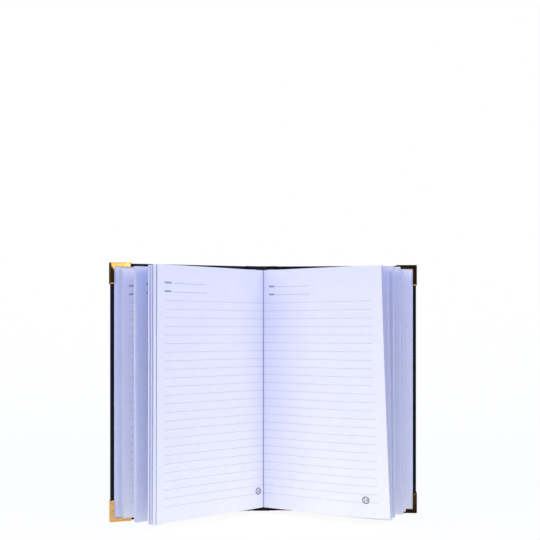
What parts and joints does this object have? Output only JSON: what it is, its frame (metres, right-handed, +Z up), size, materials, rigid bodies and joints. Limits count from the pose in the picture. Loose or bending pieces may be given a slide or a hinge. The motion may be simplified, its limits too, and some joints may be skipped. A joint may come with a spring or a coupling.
{
  "type": "notebook",
  "caption": "Hardcover leather notebook with metal cover corners, standing open on its tail edges; both covers turn on their joints and the sewn ruled leaves fan and close with them.",
  "frame": {"origin": "middle of the spine's tail edge, on the line that joins the two covers' turning axes, 0.12 mm inside the spine board's inner face", "axes": "+Z up from tail to head, +X along the spine board from the front cover's side to the back cover's, -Y towards the reader, where the leaves open"},
  "size_m": [0.2666, 0.0949, 0.2194],
  "materials": {
    "leather": "satin",
    "greyboard": "matte",
    "card": "matte",
    "gauze": "matte",
    "band_cloth": "matte",
    "endpaper": "matte",
    "page_paper": "matte",
    "corner_brass": "polished"
  },
  "bodies": {
    "spine": {"spine_board": "greyboard", "spine_leather": "leather", "spine_liner": "card", "spine_mull": "gauze", "sewn_folds": "page_paper", "head_band": "band_cloth", "tail_band": "band_cloth"},
    "front_cover": {"front_board": "greyboard", "front_leather": "leather", "front_joint_leather": "leather", "front_infill": "card", "front_pastedown": "endpaper", "front_tail_corner": "corner_brass", "front_head_corner": "corner_brass"},
    "back_cover": {"back_board": "greyboard", "back_leather": "leather", "back_joint_leather": "leather", "back_infill": "card", "back_pastedown": "endpaper", "back_tail_corner": "corner_brass", "back_head_corner": "corner_brass"},
    "front_flyleaf": {"front_flyleaf": "endpaper"},
    "front_section_1": {"front_section_1": "page_paper"},
    "front_section_2": {"front_section_2": "page_paper"},
    "front_section_3": {"front_section_3": "page_paper"},
    "front_section_4": {"front_section_4": "page_paper"},
    "left_open_section": {"left_open_section": "page_paper"},
    "back_flyleaf": {"back_flyleaf": "endpaper"},
    "back_section_1": {"back_section_1": "page_paper"},
    "back_section_2": {"back_section_2": "page_paper"},
    "back_section_3": {"back_section_3": "page_paper"},
    "back_section_4": {"back_section_4": "page_paper"},
    "right_open_section": {"right_open_section": "page_paper"}
  },
  "joints": [
    {"name": "front_cover_hinge", "type": "hinge", "parent": "spine", "child": "front_cover", "pos_m": [-0.0074, 0, 0.109], "axis": [0, 0, 1], "range_deg": [-22.4, 67.6]},
    {"name": "back_cover_hinge", "type": "hinge", "parent": "spine", "child": "back_cover", "pos_m": [0.0074, 0, 0.109], "axis": [0, 0, -1], "range_deg": [-3.9, 86.1]},
    {"name": "front_flyleaf_hinge", "type": "hinge", "parent": "spine", "child": "front_flyleaf", "pos_m": [-0.0053, -0.00459, 0.109], "axis": [0, 0, 1], "range_deg": [-22.6, 67.4]},
    {"name": "front_section_1_hinge", "type": "hinge", "parent": "spine", "child": "front_section_1", "pos_m": [-0.0053, -0.00459, 0.109], "axis": [0, 0, 1], "range_deg": [-23.9, 66.1]},
    {"name": "front_section_2_hinge", "type": "hinge", "parent": "spine", "child": "front_section_2", "pos_m": [-0.0053, -0.00459, 0.109], "axis": [0, 0, 1], "range_deg": [-34.2, 55.8]},
    {"name": "front_section_3_hinge", "type": "hinge", "parent": "spine", "child": "front_section_3", "pos_m": [-0.0053, -0.00459, 0.109], "axis": [0, 0, 1], "range_deg": [-40.2, 49.8]},
    {"name": "front_section_4_hinge", "type": "hinge", "parent": "spine", "child": "front_section_4", "pos_m": [-0.0053, -0.00459, 0.109], "axis": [0, 0, 1], "range_deg": [-42.3, 47.7]},
    {"name": "left_open_section_hinge", "type": "hinge", "parent": "spine", "child": "left_open_section", "pos_m": [-0.0053, -0.00459, 0.109], "axis": [0, 0, 1], "range_deg": [-44.3, 45.7]},
    {"name": "back_flyleaf_hinge", "type": "hinge", "parent": "spine", "child": "back_flyleaf", "pos_m": [0.0053, -0.00459, 0.109], "axis": [0, 0, -1], "range_deg": [-8, 82]},
    {"name": "back_section_1_hinge", "type": "hinge", "parent": "spine", "child": "back_section_1", "pos_m": [0.0053, -0.00459, 0.109], "axis": [0, 0, -1], "range_deg": [-14.6, 75.4]},
    {"name": "back_section_2_hinge", "type": "hinge", "parent": "spine", "child": "back_section_2", "pos_m": [0.0053, -0.00459, 0.109], "axis": [0, 0, -1], "range_deg": [-18.3, 71.7]},
    {"name": "back_section_3_hinge", "type": "hinge", "parent": "spine", "child": "back_section_3", "pos_m": [0.0053, -0.00459, 0.109], "axis": [0, 0, -1], "range_deg": [-25.5, 64.5]},
    {"name": "back_section_4_hinge", "type": "hinge", "parent": "spine", "child": "back_section_4", "pos_m": [0.0053, -0.00459, 0.109], "axis": [0, 0, -1], "range_deg": [-31, 59]},
    {"name": "right_open_section_hinge", "type": "hinge", "parent": "spine", "child": "right_open_section", "pos_m": [0.0053, -0.00459, 0.109], "axis": [0, 0, -1], "range_deg": [-34, 56]}
  ],
  "couplings": [
    {"joint": "front_flyleaf_hinge", "follows": "front_cover_hinge", "ratio": 0.99704},
    {"joint": "front_section_1_hinge", "follows": "front_cover_hinge", "ratio": 0.97781},
    {"joint": "front_section_2_hinge", "follows": "front_cover_hinge", "ratio": 0.82544},
    {"joint": "front_section_3_hinge", "follows": "front_cover_hinge", "ratio": 0.73668},
    {"joint": "front_section_4_hinge", "follows": "front_cover_hinge", "ratio": 0.70562},
    {"joint": "left_open_section_hinge", "follows": "front_cover_hinge", "ratio": 0.67603},
    {"joint": "back_flyleaf_hinge", "follows": "back_cover_hinge", "ratio": 0.95238},
    {"joint": "back_section_1_hinge", "follows": "back_cover_hinge", "ratio": 0.87572},
    {"joint": "back_section_2_hinge", "follows": "back_cover_hinge", "ratio": 0.83275},
    {"joint": "back_section_3_hinge", "follows": "back_cover_hinge", "ratio": 0.74912},
    {"joint": "back_section_4_hinge", "follows": "back_cover_hinge", "ratio": 0.68524},
    {"joint": "right_open_section_hinge", "follows": "back_cover_hinge", "ratio": 0.6504}
  ]
}
